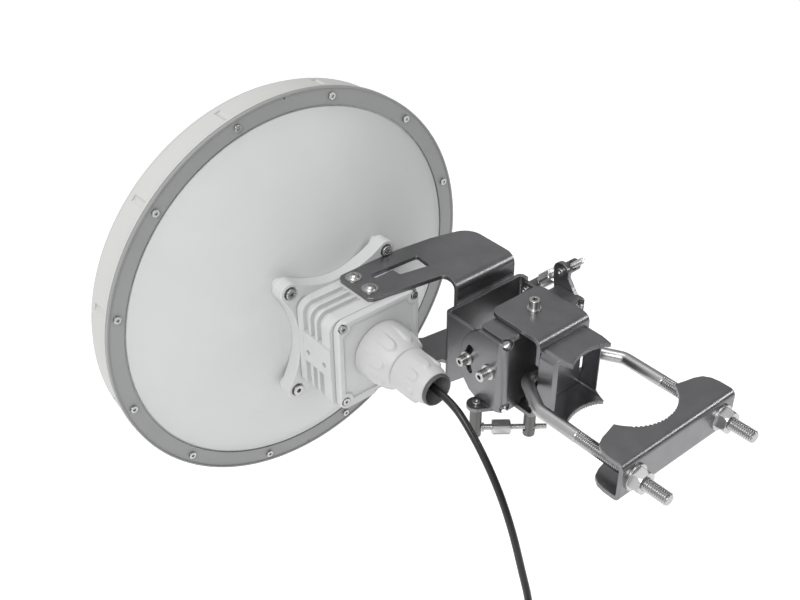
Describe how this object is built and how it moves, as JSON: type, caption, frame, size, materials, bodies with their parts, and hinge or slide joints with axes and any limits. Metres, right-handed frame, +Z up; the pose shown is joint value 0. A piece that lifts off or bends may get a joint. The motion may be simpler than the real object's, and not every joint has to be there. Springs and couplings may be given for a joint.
{
  "type": "outdoor wireless bridge",
  "caption": "Round dish antenna with radio unit and cable gland on a two-axis adjustable arm that clamps to a vertical pole.",
  "frame": {"origin": "on the pole's axis, level with the two pivots of the bracket", "axes": "+Z up along the pole; -Y is the way the antenna looks at azimuth 0; +X is the antenna's side, to which its axis is offset"},
  "size_m": [0.405, 0.4632, 0.526],
  "materials": {
    "radome_shell": "satin, slightly warm white",
    "band_paint": "satin mid grey",
    "reflector_paint": "satin light grey",
    "screw_steel": "plain stainless",
    "gasket_rubber": "matt black",
    "feed_metal": "machined",
    "inner_plastic": "natural",
    "radio_paint": "fine powder coat, white",
    "board_laminate": "green solder mask",
    "jack_shell": "plated",
    "clear_plastic": "clear moulded plastic",
    "gland_plastic": "matt white",
    "boot_rubber": "matt dark grey",
    "cable_jacket": "black, slight sheen",
    "bracket_paint": "dark grey metallic coat",
    "bush_plastic": "acetal",
    "bolt_steel": "bright stainless, threaded",
    "nut_zinc": "light zinc",
    "post_paint": "dark grey"
  },
  "bodies": {
    "clamp_base": {"bracket_base": "bracket_paint", "inner_saddle": "bracket_paint", "v_bolt": "bolt_steel", "azimuth_pivot_screws": "screw_steel", "azimuth_pivot_nuts": "screw_steel"},
    "outer_jaw": {"outer_saddle": "bracket_paint", "clamp_nuts": "nut_zinc"},
    "swivel": {"swivel_body": "bracket_paint", "azimuth_bushes": "bush_plastic", "elevation_pivot_screws": "screw_steel", "elevation_pivot_nuts": "screw_steel"},
    "antenna": {"radome": "radome_shell", "rim_band": "band_paint", "reflector": "reflector_paint", "rim_screws": "screw_steel", "rim_gasket": "gasket_rubber", "feed_tube": "feed_metal", "subreflector": "feed_metal", "feed_cone": "inner_plastic", "mounting_flange": "radio_paint", "flange_screws": "screw_steel", "radio_housing": "radio_paint", "rear_cover": "radio_paint", "cover_screws": "screw_steel", "cover_gasket": "gasket_rubber", "rf_module": "feed_metal", "thermal_pad": "gasket_rubber", "main_board": "board_laminate", "ethernet_jack": "jack_shell", "ethernet_plug": "clear_plastic", "gland_dome": "gland_plastic", "gland_body": "gland_plastic", "gland_seal": "gasket_rubber", "gland_boot": "boot_rubber", "cable_inside": "cable_jacket", "drop_cable": "cable_jacket", "cable_coil": "cable_jacket", "cable_tie": "gasket_rubber", "cable_tail": "cable_jacket", "cable_plug": "clear_plastic", "plug_boot": "cable_jacket", "mount_arm": "bracket_paint", "arm_screws": "screw_steel", "elevation_bushes": "bush_plastic", "elevation_lock_screws": "screw_steel", "elevation_lock_nuts": "screw_steel"},
    "gland_ring": {"gland_nut": "gland_plastic"},
    "azimuth_post_near": {"azimuth_near_post": "post_paint", "azimuth_near_cap": "screw_steel"},
    "azimuth_post_far": {"azimuth_far_post": "post_paint", "azimuth_far_cap": "screw_steel"},
    "azimuth_adjuster": {"azimuth_screw": "bolt_steel"},
    "elevation_post_near": {"elevation_near_post": "post_paint", "elevation_near_cap": "screw_steel"},
    "elevation_post_far": {"elevation_far_post": "post_paint", "elevation_far_cap": "screw_steel"},
    "elevation_adjuster": {"elevation_screw": "bolt_steel"}
  },
  "joints": [
    {"name": "jaw_slide", "type": "slide", "parent": "clamp_base", "child": "outer_jaw", "axis": [0, 1, 0], "range_m": [0, 0.02]},
    {"name": "azimuth", "type": "hinge", "parent": "clamp_base", "child": "swivel", "pos_m": [0, -0.107, 0], "axis": [0, 0, 1], "range_deg": [-9, 9]},
    {"name": "elevation", "type": "hinge", "parent": "swivel", "child": "antenna", "pos_m": [0, -0.107, 0], "axis": [1, 0, 0], "range_deg": [-18, 18]},
    {"name": "gland_turn", "type": "hinge", "parent": "antenna", "child": "gland_ring", "pos_m": [0.106, -0.13, 0.0025], "axis": [0, 1, 0], "range_deg": [0, 360]},
    {"name": "azimuth_near_pivot", "type": "hinge", "parent": "swivel", "child": "azimuth_post_near", "pos_m": [0.0574, -0.116, -0.068], "axis": [0, 0, 1], "range_deg": [-2, 2]},
    {"name": "azimuth_far_pivot", "type": "hinge", "parent": "clamp_base", "child": "azimuth_post_far", "pos_m": [0.019, -0.085, -0.068], "axis": [0, 0, 1], "range_deg": [-10, 10]},
    {"name": "azimuth_screw_turn", "type": "hinge", "parent": "azimuth_post_near", "child": "azimuth_adjuster", "pos_m": [0.0574, -0.116, -0.068], "axis": [-0.7781, 0.6281, 0], "range_deg": [-1800, 1800]},
    {"name": "elevation_near_pivot", "type": "hinge", "parent": "antenna", "child": "elevation_post_near", "pos_m": [-0.061, -0.16, 0.016], "axis": [1, 0, 0], "range_deg": [-10, 10]},
    {"name": "elevation_far_pivot", "type": "hinge", "parent": "swivel", "child": "elevation_post_far", "pos_m": [-0.061, -0.122, 0.054], "axis": [1, 0, 0], "range_deg": [-10, 10]},
    {"name": "elevation_screw_turn", "type": "hinge", "parent": "elevation_post_near", "child": "elevation_adjuster", "pos_m": [-0.061, -0.16, 0.016], "axis": [0, 0.7071, 0.7071], "range_deg": [-5760, 5760]}
  ],
  "couplings": [
    {"joint": "azimuth_near_pivot", "follows": "azimuth", "ratio": 0.019544},
    {"joint": "azimuth_far_pivot", "follows": "azimuth", "ratio": 1.0195},
    {"joint": "azimuth_screw_turn", "follows": "azimuth", "ratio": 182.54},
    {"joint": "elevation_near_pivot", "follows": "elevation", "ratio": -0.51316},
    {"joint": "elevation_far_pivot", "follows": "elevation", "ratio": 0.48684},
    {"joint": "elevation_screw_turn", "follows": "elevation", "ratio": -306.56}
  ]
}
